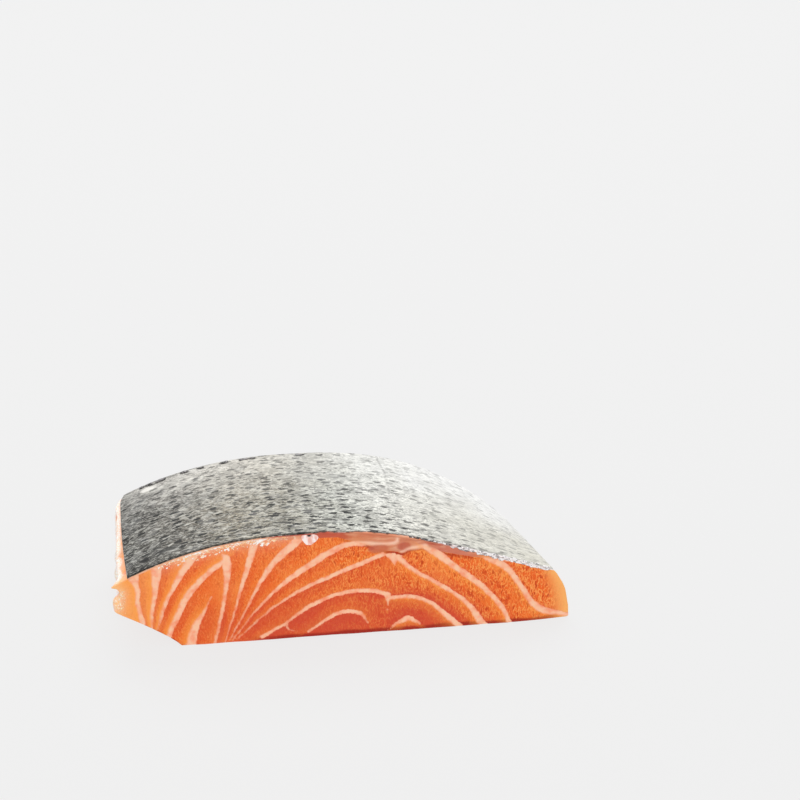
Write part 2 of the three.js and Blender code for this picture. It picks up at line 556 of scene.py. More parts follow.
# Depth of the pale tissue between the skin and the muscle.
BAND_X = (-66, -22, -18, -2, 2, 6, 8, 10.5, 15, 17, 19, 21.5, 24, 29, 40, 48, 55)
BAND_DEPTH = (0.3, 0.5, 1.2, 1.3, 2.5, 3.3, 4, 4.8, 4.9, 5, 3.4, 2.4, 2.1, 2.4, 1.6, 0.9, 0)
BAND_COLOURS = (  # X and colour
    (-66, (246, 186, 146)),
    (-24, (244, 176, 140)),
    (-19, (206, 94, 72)),
    (-1, (194, 86, 64)),
    (3, (210, 128, 94)),
    (21, (216, 138, 104)),
    (27, (204, 116, 92)),
    (41, (214, 130, 102)),
    (47, (236, 128, 76)),
    (61, (246, 154, 96)),
)
PALE_LANES = (  # courses like those of the fat lines
    [(0, 29.4, 1.1), (4, 29.6, 1), (8, 29.3, 0.9), (12.5, 28.9, 0.7), (14.9, 28.9, 0.9), (15.3, 30.2, 0.6)],
    [(16.4, 25.9, 0.4), (18.6, 26.8, 0.9), (21, 27, 1), (23.5, 27.2, 1.2)],
)
DARK_MUSCLE = (  # X, height and reach along both of its parts
    (9.8, 27.4, 3, 1.5),
    (17.2, 27.6, 2, 1.4),
    (27, 28, 3.4, 0.7),
)

FLESH_COLOUR = (236, 100, 30)
DEEP_FLESH_COLOUR = (210, 72, 44)  # low in the middle of the cut and beside fat lines
WARM_FLESH_COLOUR = (250, 161, 88)  # towards the back
# Dark red of the rim beneath the pale band, also used as painted shade along the foot of the front cut and
# under the undercut.
RIM_AND_SHADE_COLOUR = (150, 14, 4)
FAT_COLOURS = ((248, 150, 112), (253, 197, 162))
GLOW_REACH = 1.5  # of the yellowish glow beside a fat line
EDGE_REACH = 1.6  # of the deeper flesh on the other side of it
FAT_GAP_LIMITS = (-1, 3)  # distance from a fat line that the shader still tells apart
FLESH_MARKS = ("fat_gap", "strength", "fringe", "band", "lane", "dark", "deep", "warm", "rim_and_contact_shade")
FLESH_MARKS += ("rim", "trim", "glisten")


def make_band_tone_group():
    """The tissue beneath the skin: whitish at the back, rosy over the loin and brownish at the flank."""
    group, tree, given, result = new_shader_group("band tone", {"Colour": "NodeSocketColor"})
    place = given["Vector"]
    stray = tree.times(tree.minus(tree.noise(place, 300.0, 2.0), 0.5), 0.008)
    colour = tree.colours(tree.plus(tree.split(place)[0], stray), BAND_COLOURS)
    streaks = tree.noise(tree.stretch(place, (0.28, 1.0, 1.0)), 800.0, 2.0)
    colour = tree.mix(tree.times(tree.ramp(streaks, 0.5, 0.7), 0.28), colour, (252, 204, 168))
    colour = tree.mix(tree.times(tree.ramp(streaks, 0.5, 0.3), 0.25), colour, (184, 80, 52))
    tree.feed(result["Colour"], colour)
    return group


BAND_TONE = make_band_tone_group()


def make_flesh_material():
    material, tree, surface = new_material("raw salmon flesh")
    place = tree.place()
    marks = (tree.kept(name) for name in FLESH_MARKS)
    gap, strength, fringe, band, lane, dark, deep, warm, rim_and_contact_shade, rim, trim, glisten = marks

    # Muscle fibres, cut almost along their length: wavy upright strands, finer towards the back.
    wavy = tree.warp(place, 420.0, (0.0016, 0.0016, 0.0016))
    strands = tree.noise(tree.stretch(wavy, (1.0, 0.3, 0.3), (math.radians(8), 0, 0)), 1700.0, 1.2, 0.5)
    flecks = tree.noise(tree.stretch(wavy, (1.0, 0.6, 0.5)), 2900.0, 2.0, 0.6)
    calm = tree.minus(1.0, tree.times(tree.most(deep, rim), 0.85))
    calm = tree.times(calm, tree.minus(1.0, tree.times(warm, 0.5)))
    vigour = tree.times(calm, tree.ramp(tree.noise(place, 200.0, 2.0), 0.1, 0.55))
    towards_belly = tree.ramp(tree.split(place)[0], -0.03, 0.012)
    coarse = tree.times(vigour, tree.plus(0.3, tree.times(towards_belly, 0.7)))

    flesh = tree.mix(deep, FLESH_COLOUR, DEEP_FLESH_COLOUR)
    flesh = tree.mix(warm, flesh, WARM_FLESH_COLOUR)
    flesh = tree.mix(tree.times(tree.ramp(strands, 0.55, 0.7), coarse, 0.8), flesh, (184, 48, 2))
    flesh = tree.mix(tree.times(tree.crest(strands, 0.06, 0.01), coarse, 0.85), flesh, (255, 172, 90))
    flesh = tree.mix(tree.times(tree.ramp(flecks, 0.54, 0.7), vigour, 0.45), flesh, (255, 178, 108))
    flesh = tree.mix(tree.times(tree.ramp(flecks, 0.46, 0.34), vigour, 0.45), flesh, (192, 60, 12))

    # The pale band and the dark muscle beneath the skin, the dark rims that border them, and painted shade
    # along the table and under the undercut.
    mottled = tree.noise(place, 380.0, 3.0)
    flesh = tree.mix(tree.times(rim_and_contact_shade, 0.9), flesh, RIM_AND_SHADE_COLOUR)
    band_edge = tree.plus(band, tree.times(tree.minus(mottled, 0.5), 0.5))
    flesh = tree.mix(tree.ramp(band_edge, 0.4, 0.62), flesh, tree.group(BAND_TONE, place)["Colour"])
    flesh = tree.mix(lane, flesh, tree.mix(mottled, (250, 188, 156), (255, 222, 200)))
    flesh = tree.mix(dark, flesh, tree.mix(mottled, (168, 62, 46), (212, 118, 90)))

    # Fat lines: with a yellowish glow on the side that slants under the cut, sharp on the other.
    flesh = tree.mix(tree.times(fringe, 0.75), flesh, (255, 162, 70))
    flesh = tree.mix(tree.times(rim, 0.85), flesh, (255, 188, 108))
    ragged = tree.minus(tree.noise(tree.stretch(place, (1.0, 1.0, 0.5)), 1500.0, 3.0), 0.5)
    softness = tree.plus(0.17, tree.times(fringe, 0.28))
    line = tree.ramp(tree.plus(gap, tree.times(ragged, 0.8)), softness, tree.times(softness, -1.0))
    core = tree.ramp(gap, 0.15, -0.6)
    fat_tone = tree.plus(tree.noise(place, 420.0, 2.0), tree.times(core, 0.12))
    fat = tree.mix(tree.ramp(fat_tone, 0.3, 0.75), *FAT_COLOURS)
    flesh = tree.mix(tree.times(line, strength), flesh, fat)

    # White tissue over the trimmed faces, and pale wet tissue along the skin and at the nose, with specks of
    # fat painted white as glints.
    webs = tree.noise(tree.stretch(place, (1.0, 0.8, 1.4)), 520.0, 4.0, 0.6)
    cover = tree.ramp(tree.plus(webs, tree.times(trim, 0.5)), 0.55, 0.8)
    pale = tree.mix(tree.ramp(flecks, 0.3, 0.62), (252, 210, 178), (255, 250, 245))
    flesh = tree.mix(tree.times(cover, trim), flesh, pale)
    slanting = tree.stretch(place, (0.7, 1.0, 1.4), (0, math.radians(-20), 0))
    crumbs = tree.noise(slanting, 1500.0, 3.0, 0.6, 0.6)
    glint_specks = tree.ramp(tree.plus(crumbs, tree.times(glisten, 0.34)), 0.67, 0.75)
    glint_specks = tree.times(glint_specks, tree.ramp(glisten, 0.02, 0.2))
    flesh = tree.mix(tree.times(glisten, 0.76), flesh, (255, 206, 174))
    sparkle = tree.mix(tree.ramp(flecks, 0.42, 0.66), (255, 196, 138), (255, 240, 220))
    flesh = tree.mix(glint_specks, flesh, sparkle)

    relief = tree.plus(tree.times(strands, 0.6), tree.times(flecks, 0.4), tree.times(glint_specks, 1.2))
    finish_moist(tree, surface, place, flesh, relief, (1100.0, 0.46, 0.24), (0.55, 0.00014), 1.34)
    tree.feed_all(surface, {"Subsurface Weight": 0.1, "Subsurface Scale": 1.0})
    tree.feed_all(surface, {"Subsurface Radius": (0.0012, 0.0004, 0.0002)})
    return material


def marks_across():
    """Division marks from 0 to 1 along the flesh, closer together in the fan."""
    x = np.linspace(NOSE_X[0], FOOT_X[0], 4000)
    fan = smoothstep(FAN_X[0] - 4, FAN_X[0], x) * smoothstep(FAN_X[1] + 4, FAN_X[1], x)
    count = np.concatenate([[0], np.cumsum(np.diff(x) / lerp(FLESH_CELL, FAN_CELL, fan)[1:])])
    return np.interp(np.linspace(0, count[-1], round(count[-1])), count, np.linspace(0, 1, len(x)))


def make_flesh():
    along = 0.5 - 0.5 * np.cos(np.pi * np.linspace(0, 1, FLESH_ALONG + 1))
    unit, quads = block_lattice(marks_across(), along, np.linspace(0, 1, FLESH_UP + 1))
    size = np.array([LENGTH, WIDTH, FLESH_DEPTH])
    radius = lerp(NOSE_ROUND, EDGE_ROUND, smoothstep(0, 0.08, unit[:, 0]))
    radius = lerp(radius, TOP_ROUND, smoothstep(0.8, 0.96, unit[:, 2]))
    u, v, w = soften(unit, size, radius).T
    points = flesh_point(u, v, w)
    x, _, z = points.T

    # The cross-section that a point lies in, with the wandering that keeps a line from looking drawn.
    # The lines of the large families fade out where they run into the band beneath the skin.
    wander = np.stack([ripple(points, LINE_WANDER_SPAN, seed) for seed in (1, 2)], -1)
    section = np.stack([x, z], -1) + LINE_WANDER * wander
    fat_gap = np.full(len(points), 1e3)
    fringe = np.zeros(len(points))
    sharp = np.zeros(len(points))
    strength = np.zeros(len(points))
    below_skin = skin_height(x, v) - SKIN_THICKNESS - z
    band_depth = np.interp(x, BAND_X, BAND_DEPTH)
    fade = lerp(1, smoothstep(-0.9, 0.3, below_skin - band_depth), smoothstep(0.6, 1.6, band_depth))
    for family, glow in GLOW_OF_FAMILY:
        gap, side, breadth = distance_to_lines(section, v * WIDTH, family)
        shown = lerp(0.62, 1, smoothstep(0.25, 1.3, breadth)) * (fade if glow else 1)
        strength = np.where(gap < fat_gap, shown, strength)
        fat_gap = np.minimum(fat_gap, gap)
        away = np.clip(gap, 0, None)
        here = smoothstep(0, 1, breadth)
        fringe = np.maximum(fringe, glow * np.exp(-away / GLOW_REACH) * here * (side < 0))
        sharp = np.maximum(sharp, np.exp(-away / EDGE_REACH) * here * (side > 0))
    fat_gap = np.clip(fat_gap, *FAT_GAP_LIMITS)
    fat = smoothstep(0.3, -0.3, fat_gap)

    # Broad tones of the muscle.
    band = smoothstep(0.4, -0.4, below_skin - band_depth) * smoothstep(0, 0.3, band_depth)
    middle = bell(x, 4, 34) * smoothstep(24, 4, z)
    deep = np.clip(0.9 * middle + 0.5 * sharp + 0.25 * ripple(points, 14, 3), 0, 1)
    rim = np.maximum(smoothstep(0.95, 1, u), smoothstep(0.035, 0, u) * (v < 0.1))
    warm = np.clip(smoothstep(-50, -61, x) + 0.08 + 0.25 * ripple(points, 10, 4) - 0.4 * middle, 0, 1)
    warm = np.clip(warm * (1 - 0.5 * sharp) - 0.3 * smoothstep(44, 52, x), 0, 1)
    lane = np.zeros(len(points))
    for course in PALE_LANES:
        gap, _, _ = distance_to_lines(section, np.zeros(len(points)), [course, course])
        lane = np.maximum(lane, 0.85 * smoothstep(0.5, -0.35, gap) * smoothstep(0.5, 0.2, v))
    dark = np.zeros(len(points))
    for centre_x, centre_z, reach_x, reach_z in DARK_MUSCLE:
        reach = ((x - centre_x) / reach_x) ** 2 + ((z - centre_z) / reach_z) ** 2
        dark = np.maximum(dark, 0.9 * smoothstep(1.4, 0.5, reach) * (1 - 0.8 * lane))
    under_band = bell(below_skin - band_depth, 0.45, 0.45) * smoothstep(-4, 6, x) * smoothstep(44, 26, x)
    # Painted shade: dark red along the foot of the front cut where it meets the table, and under the undercut
    # of the nose.
    contact_shade = smoothstep(1.8, 1.0, z + 0.3 * ripple(points, 6, 10)) * smoothstep(-30, -18, x)
    undercut_shade = smoothstep(1.1, 0.3, z - underside_height(x, v))
    undercut_shade *= smoothstep(-60, -50, x) * smoothstep(-40, -48, x)
    rim_and_contact_shade = np.maximum(0.9 * under_band, np.maximum(0.95 * contact_shade, 0.5 * undercut_shade) * (v < 0.5))

    # Finish of the trimmed faces, and of the wet upper edge of the front cut and the nose with its painted
    # glints.
    phase = (FLAKES * v + FLAKE_LEAN * w) % 1
    spot = bell(phase, 0.45, 0.16) * np.clip(0.7 + ripple(points, 3, 9), 0, 1)
    trim = smoothstep(0.022, 0.006, u) * np.clip(1.15 - 1.2 * spot, 0, 1)
    trim *= lerp(0.3, 1, smoothstep(0, 0.05, v))
    streaky = np.clip(0.3 + 0.6 * ripple(points * (1, 0.35, 1), 2.5, 12), 0, 1)
    trim = np.maximum(trim, smoothstep(0.978, 0.994, u) * streaky * smoothstep(0.01, 0.06, v))
    speckled = bell(x, -65.2, 2.4) * bell(z, 15.5, 4) * (v < 0.05)
    wet = np.exp(-np.clip(below_skin, 0, None) / 1.6) * smoothstep(-58, -46, x) * smoothstep(-6, -22, x)
    glisten = np.maximum(0.9 * speckled, wet * smoothstep(0.06, 0.02, v))

    # Relief of the knife cuts and the trimmed faces, inward but for the flap at the end of the shoulder.
    swell = 0.5 + 0.5 * ripple(points, 9, 5)
    grain = 0.5 + 0.5 * ripple(points, 1.6, 6)
    inward = CUT_RELIEF * np.clip(swell, 0, 1) + LINE_GROOVE * fat + GRAIN_RELIEF * np.clip(grain, 0, 1)
    points[:, 1] += inward * ((1 - v) ** 30 - v**30)
    trimmed = TRIM_RELIEF * np.clip(0.5 + 0.5 * ripple(points, 3.5, 7), 0, 1) * np.sin(np.pi * w) ** 0.5
    flap = FLAP_REACH * bell(w, 0.92, 0.06) * smoothstep(0.06, 0.0, v)
    hollow = TRIM_HOLLOW * smoothstep(0, 0.12, v) * smoothstep(1, 0.8, v)
    waist = TRIM_WAIST * bell(w, 0.68, 0.2) * smoothstep(0.3, 0.1, v)
    points[:, 0] += trimmed * ((1 - u) ** 40 - 0.4 * u**40)
    points[:, 0] += (hollow + waist) * (1 - u) ** 24 - flap * (1 - u) ** 60

    mesh = make_mesh("flesh_muscle", points, quads)
    marks = (fat_gap, strength, fringe, band, lane, dark, deep, warm, rim_and_contact_shade, rim, trim, glisten)
    keep_values(mesh, **dict(zip(FLESH_MARKS, marks)))
    piece = place_piece("flesh_muscle", mesh, make_flesh_material())
    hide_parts("flesh")


# ---------------------------------------------------------------- skin

SCALE_BED = 0.28  # depth that the scales take up of the skin's thickness
SKIN_ACROSS = 300
SKIN_ALONG = 110
SKIN_UP = 5
SKIN_EDGE_ROUND = 0.49  # of the sheet's thickness, along its outer edges

# How far behind the front cut the scaled skin begins, beyond bare tissue, and how frayed that edge is.
FAT_EDGE_X = (-62, -22, -8, 2, 14, 24, 34, 50, 60)
FAT_EDGE = (0, 0.1, 0.1, 0.5, 0.9, 0.5, 0.8, 0.5, 0.2)
FAT_EDGE_FRAY = (0.1, 0.15, 0.3, 0.5, 0.9, 0.9, 0.9, 0.8, 0.4)
FAT_EDGE_STEP = 0.2  # height of the scaled skin over the bare tissue
REAR_FRAY = 0.4

SCALE_PITCH = 3.3  # across the fish
SCALE_ROW = 2.1  # along the fish, with every second row set over by half a pitch
SCALE_WIDTH = 4.3
SCALE_LENGTH = 5.2
SCALE_THICKNESS = 0.05
SCALE_DOME = 0.05
SCALE_TILT = math.radians(1)
SCALE_MARGIN = 0.05  # that the scales stay within the edges of the skin
SCALE_LIFT = -0.02
SCALE_JITTER = 0.16  # of a scale's place, as a share of the pitch and of the row
SCALE_SIZES = (0.9, 1.08)
SCALE_SEED = 7
RAY_HEIGHT = 200  # from which the scales are dropped on the skin

FRONT_COLOURS = (  # X and colour of the skin towards the front cut
    (-62, (60, 58, 54)),
    (-46, (110, 105, 95)),
    (-28, (157, 148, 128)),
    (-12, (166, 163, 149)),
    (2, (214, 216, 207)),
    (16, (236, 235, 227)),
    (32, (220, 218, 208)),
    (61, (222, 219, 206)),
)
# X and colour of the skin towards the rear cut, lighter than at the front by a painted sheen of the light
# from behind.
REAR_COLOURS_WITH_SHEEN = (
    (-62, (166, 163, 158)),
    (-42, (218, 214, 206)),
    (-20, (212, 207, 196)),
    (-6, (198, 196, 188)),
    (8, (232, 232, 227)),
    (26, (241, 241, 239)),
    (60, (245, 245, 243)),
)
PIGMENT_DASHES = ((400.0, 0.22, 1.0), (640.0, 0.2, 0.85))  # cells in a metre, reach in a cell, strength
LATERAL_LINE_X = 16.8
SCUFF = (-53.6, 22, 2.6, 1.6)  # place and reach of a scuffed patch near the rear of the back
SMEARS = (  # X, Y and reach along both of broad smears of pigment
    (-20, -14, 4, 0.7),
    (-16.6, -19, 3, 0.8),
    (-3.7, -19, 3.4, 0.9),
    (3, -13.5, 2.4, 0.8),
    (20.5, -21, 3, 0.6),
    (-50, -20, 5, 1.6),
)


def fat_edge(x):
    """How far behind the front cut the scales begin."""
    flat = np.stack([x, np.zeros(len(x)), np.zeros(len(x))], -1)
    fray = 0.55 * ripple(flat, 3.3, 8) + 0.45 * ripple(flat, 1.1, 9)
    fray *= np.interp(x, FAT_EDGE_X, FAT_EDGE_FRAY)
    return np.clip(np.interp(x, FAT_EDGE_X, FAT_EDGE) + fray, 0, None)


def make_skin_tone_group():
    """Colour of the skin over the whole side, from the dark back to the silver belly, with its grain and a
    painted sheen towards the rear.
    """
    outputs = {"Colour": "NodeSocketColor", "Contrast": "NodeSocketFloat", "Streaks": "NodeSocketFloat"}
    group, tree, given, result = new_shader_group("skin tone", outputs)
    place = given["Vector"]
    x, y, _ = tree.split(place)
    stray = tree.times(tree.minus(tree.noise(place, 70.0, 3.0), 0.5), 0.03)
    across = tree.plus(x, stray)
    # Painted sheen of the light from behind: the skin is lighter towards the rear cut.
    slant = tree.times(tree.math("MINIMUM", tree.plus(x, 0.02), 0.0), 0.19)
    rear_sheen = tree.ramp(tree.plus(y, stray, slant), -0.014, 0.024)
    front, rear = (tree.colours(across, stops) for stops in (FRONT_COLOURS, REAR_COLOURS_WITH_SHEEN))
    colour = tree.mix(rear_sheen, front, rear)

    patches = tree.noise(tree.stretch(place, (0.45, 1.0, 0.45), (0, 0, math.radians(14))), 300.0, 3.0)
    streaks = tree.noise(tree.stretch(place, (0.34, 1.0, 0.34)), 1150.0, 3.0, 0.66, 0.9)
    fine = tree.noise(tree.stretch(place, (0.5, 1.0, 0.5)), 2200.0, 2.0, 0.6)
    winding = tree.noise(tree.stretch(place, (0.42, 1.0, 0.42)), 560.0, 1.5, 0.5, 0.8)
    pale = tree.ramp(tree.plus(x, tree.times(y, 0.35)), -0.005, 0.04)
    contrast = tree.minus(1.0, tree.times(pale, 0.56))
    # The marks fade under the painted sheen towards the rear.
    contrast = tree.times(contrast, tree.minus(1.0, tree.times(rear_sheen, 0.38)))
    dim = tree.most(
        tree.times(tree.ramp(patches, 0.5, 0.34), 0.5),
        tree.times(tree.crest(winding, 0.03, 0.01), tree.ramp(streaks, 0.66, 0.5), 0.95),
        tree.times(tree.ramp(streaks, 0.47, 0.39), 0.66),
        tree.times(tree.ramp(fine, 0.5, 0.4), 0.55),
    )
    # Pale streaks and flecks of the grain are painted glints.
    lit = tree.most(tree.ramp(streaks, 0.51, 0.62), tree.times(tree.ramp(fine, 0.53, 0.63), 0.75))
    colour = tree.mix(tree.times(dim, contrast), colour, (25, 25, 23))
    colour = tree.mix(tree.times(lit, contrast, 0.5), colour, (232, 231, 222))

    # Dark pigment in scattered dashes that lie across the fish, strong in some and faint in others.
    bent = tree.stretch(tree.warp(place, 900.0, (0.0016, 0.0012, 0.0)), (0.46, 1.0, 1.0))
    for scale, reach, strength in PIGMENT_DASHES:
        inputs = {"Vector": bent, "Scale": scale, "Randomness": 0.9}
        cells = tree.node("ShaderNodeTexVoronoi", inputs, voronoi_dimensions="2D").outputs
        chance = tree.node("ShaderNodeSeparateColor", {0: cells["Color"]}).outputs[0]
        dash = tree.ramp(cells["Distance"], reach * 1.15, reach * 0.9)
        dash = tree.times(dash, tree.ramp(chance, 0.2, 0.64), strength, contrast)
        colour = tree.mix(dash, colour, (8, 8, 7))
    tree.feed_all(result, {"Colour": colour, "Contrast": contrast, "Streaks": streaks})
    return group


SKIN_TONE = make_skin_tone_group()


def finish_skin(tree, surface, place, colour, height):
    finish_moist(tree, surface, place, colour, height, (900.0, 0.5, 0.28), (0.5, 0.0001), 1.36)


def make_skin_material():
    material, tree, surface = new_material("salmon skin")
    place = tree.place()
    skin, contrast, _ = tree.group(SKIN_TONE, place)
    mottled = tree.noise(place, 700.0, 3.0)
    torn = tree.noise(tree.stretch(place, (0.6, 1.0, 1.0)), 1300.0, 3.0, 0.6)
    torn_colour = tree.mix(tree.ramp(torn, 0.4, 0.5), (160, 154, 154), (247, 244, 244))
    towards_belly = tree.times(tree.ramp(tree.split(place)[0], 0.026, 0.034), 0.92)
    bare = tree.mix(towards_belly, tree.group(BAND_TONE, place)["Colour"], torn_colour)
    skin = tree.mix(tree.kept("scaled"), bare, skin)
    line_colour = tree.mix(tree.ramp(contrast, 0.44, 0.8), (196, 192, 190), (40, 38, 36))
    skin = tree.mix(tree.times(tree.kept("front_edge"), tree.ramp(mottled, 0.3, 0.6)), skin, line_colour)
    finish_skin(tree, surface, place, skin, mottled)
    return material


def make_scale_material():
    material, tree, surface = new_material("salmon scales")
    place = tree.place()
    x, y, _ = tree.split(place)
    body, contrast, streaks = tree.group(SKIN_TONE, place)
    chance, along = tree.kept("scale_chance"), tree.kept("scale_along")

    # Each scale is a little lighter or darker than the next.
    body = tree.mix(tree.times(tree.ramp(chance, 0.5, 1.0), 0.1), body, (244, 244, 240))
    body = tree.mix(tree.times(tree.ramp(chance, 0.5, 0.0), 0.14, contrast), body, (50, 50, 48))

    # Pigment, with painted shade of the overlap, darkens a scale where it comes out from under those before
    # it.
    covered = tree.times(tree.ramp(along, 0.35, -0.1), tree.ramp(streaks, 0.3, 0.6), contrast, 0.28)
    body = tree.mix(covered, body, (40, 40, 38))

    # A dark line along the front edge of the back.
    outward = tree.math("ABSOLUTE", tree.math("DIVIDE", x, 0.5 * LENGTH * METRES))
    fall = tree.math("POWER", outward, CUT_ROUND_POWER)
    front = tree.math("MULTIPLY_ADD", fall, CUT_ROUND[0] * METRES, -0.5 * WIDTH * METRES)
    near_cut = tree.times(tree.ramp(tree.minus(y, front), 0.0009, 0.0003), tree.ramp(x, 0.002, -0.012), 0.7)
    body = tree.mix(near_cut, body, (26, 26, 24))

    # The lateral line, a faint broken furrow from cut to cut.
    bend = tree.times(tree.minus(tree.noise(place, 90.0, 2.0), 0.5), 0.003)
    away = tree.math("ABSOLUTE", tree.minus(tree.plus(x, bend), LATERAL_LINE_X * METRES))
    furrow = tree.times(tree.ramp(away, 0.0005, 0.0002), tree.ramp(streaks, 0.62, 0.4), 0.6)
    body = tree.mix(furrow, body, (128, 128, 124))

    # Smears of pigment, and a scuffed pale patch.
    def spread(middle_x, middle_y, reach_x, reach_y):
        from_x = tree.math("DIVIDE", tree.minus(x, middle_x * METRES), reach_x * METRES)
        from_y = tree.math("DIVIDE", tree.minus(y, middle_y * METRES), reach_y * METRES)
        reach = tree.plus(tree.times(from_x, from_x), tree.times(from_y, from_y))
        return tree.ramp(tree.plus(reach, tree.times(streaks, 2.0)), 2.1, 1.2)

    for smear in SMEARS:
        body = tree.mix(tree.times(spread(*smear), tree.times(contrast, 0.75)), body, (34, 34, 32))
    body = tree.mix(tree.times(spread(*SCUFF), 0.85), body, (236, 233, 226))
    finish_skin(tree, surface, place, body, streaks)
    return material


def skin_place(x, y, up):
    """A point of the skin, up above the bed that the scales lie in."""
    v = (y - cut_at(x, 0)) / (cut_at(x, 1) - cut_at(x, 0))
    return np.stack([x, y, skin_height(x, v) - SCALE_BED + up], -1)


def make_skin_sheet():
    """The skin without its scales, with bare tissue along its front edge and slightly frayed at the rear."""
    across, along, up = (np.linspace(0, 1, count + 1) for count in (SKIN_ACROSS, SKIN_ALONG, SKIN_UP))
    unit, quads = block_lattice(across, along**1.3, up)
    thickness = SKIN_THICKNESS - SCALE_BED
    size = np.array([BELLY_EDGE_X[0] - BACK_EDGE_X[0], WIDTH, thickness])
    radius = lerp(0.02, SKIN_EDGE_ROUND, smoothstep(0.4, 0.9, unit[:, 2])) * thickness
    u, v, w = soften(unit, size, radius).T
    x = lerp(back_edge(v), between(BELLY_EDGE_X, v), u)
    y = lerp(cut_at(x, 0), cut_at(x, 1), v)
    points = skin_place(x, y, -thickness * (1 - w))
    behind = y - cut_at(x, 0) - fat_edge(x)
    bare = smoothstep(0, -0.3, behind)
    points[:, 2] -= FAT_EDGE_STEP * bare * smoothstep(0, 0.5, w)
    fray = REAR_FRAY * np.clip(0.5 + 0.5 * ripple(points, 2.5, 8), 0, 1)
    points[:, 1] -= fray * v**60
    mesh = make_mesh("skin_sheet", points, quads)
    on_top = smoothstep(0.3, 0.75, w)
    keep_values(mesh, scaled=(1 - bare) * on_top, front_edge=bell(behind, -0.05, 0.25) * on_top)
    piece = place_piece("skin_sheet", mesh, make_skin_material())
    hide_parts("skin")


def mark_sharp(mesh, rim):
    """Keeps the smooth shading of two faces apart along the rim where they meet."""
    crisp = mesh.attributes.new("sharp_edge", "BOOLEAN", "EDGE")
    crisp.data.foreach_set("value", [set(edge.vertices) <= rim for edge in mesh.edges])


def plate(rings, sides, place):
    """A closed thin plate of rings about a middle, as points, faces and the numbers of the points of its rim.

    place(face, reach, around) gives a point of the outer face (0) or the inner one (1).
    """
    points, faces = [], []
    for face in (0, 1):
        for ring in range(rings + 1 - face):
            for side in range(sides if ring else 1):
                points.append(place(face, ring / rings, 2 * math.pi * side / sides))

    def corner(face, ring, side):
        first = 1 + rings * sides if face and ring < rings else 0
        return first + (1 + (ring - 1) * sides + side % sides if ring else 0)

    for face in (0, 1):
        for ring in range(rings):
            for side in range(sides):
                a, b = corner(face, ring + 1, side), corner(face, ring + 1, side + 1)
                c, d = corner(face, ring, side + 1), corner(face, ring, side)
                outline = [a, b, c] if c == d else [a, b, c, d]
                faces.append(outline[::-1] if face else outline)
    return points, faces, {corner(0, rings, side) for side in range(sides)}


def make_one_scale(material):
    """A thin rounded plate with its free edge towards +Y, and the place along it as an attribute."""

    def place(face, reach, around):
        bulge = -SCALE_THICKNESS * (reach > 0) if face else SCALE_DOME  # the inner face has a hollow middle
        x = reach * math.cos(around) * SCALE_WIDTH / 2
        y = reach * math.sin(around) * SCALE_LENGTH / 2
        return x, y, bulge * (1 - reach**2)

    points, faces, rim = plate(3, 14, place)
    mesh = make_mesh("one_scale", points, faces)
    mark_sharp(mesh, rim)
    keep_values(mesh, scale_along=[2 * y / SCALE_LENGTH for _, y, _ in points])
    mesh.materials.append(material)
    return add_object("one_scale", mesh)


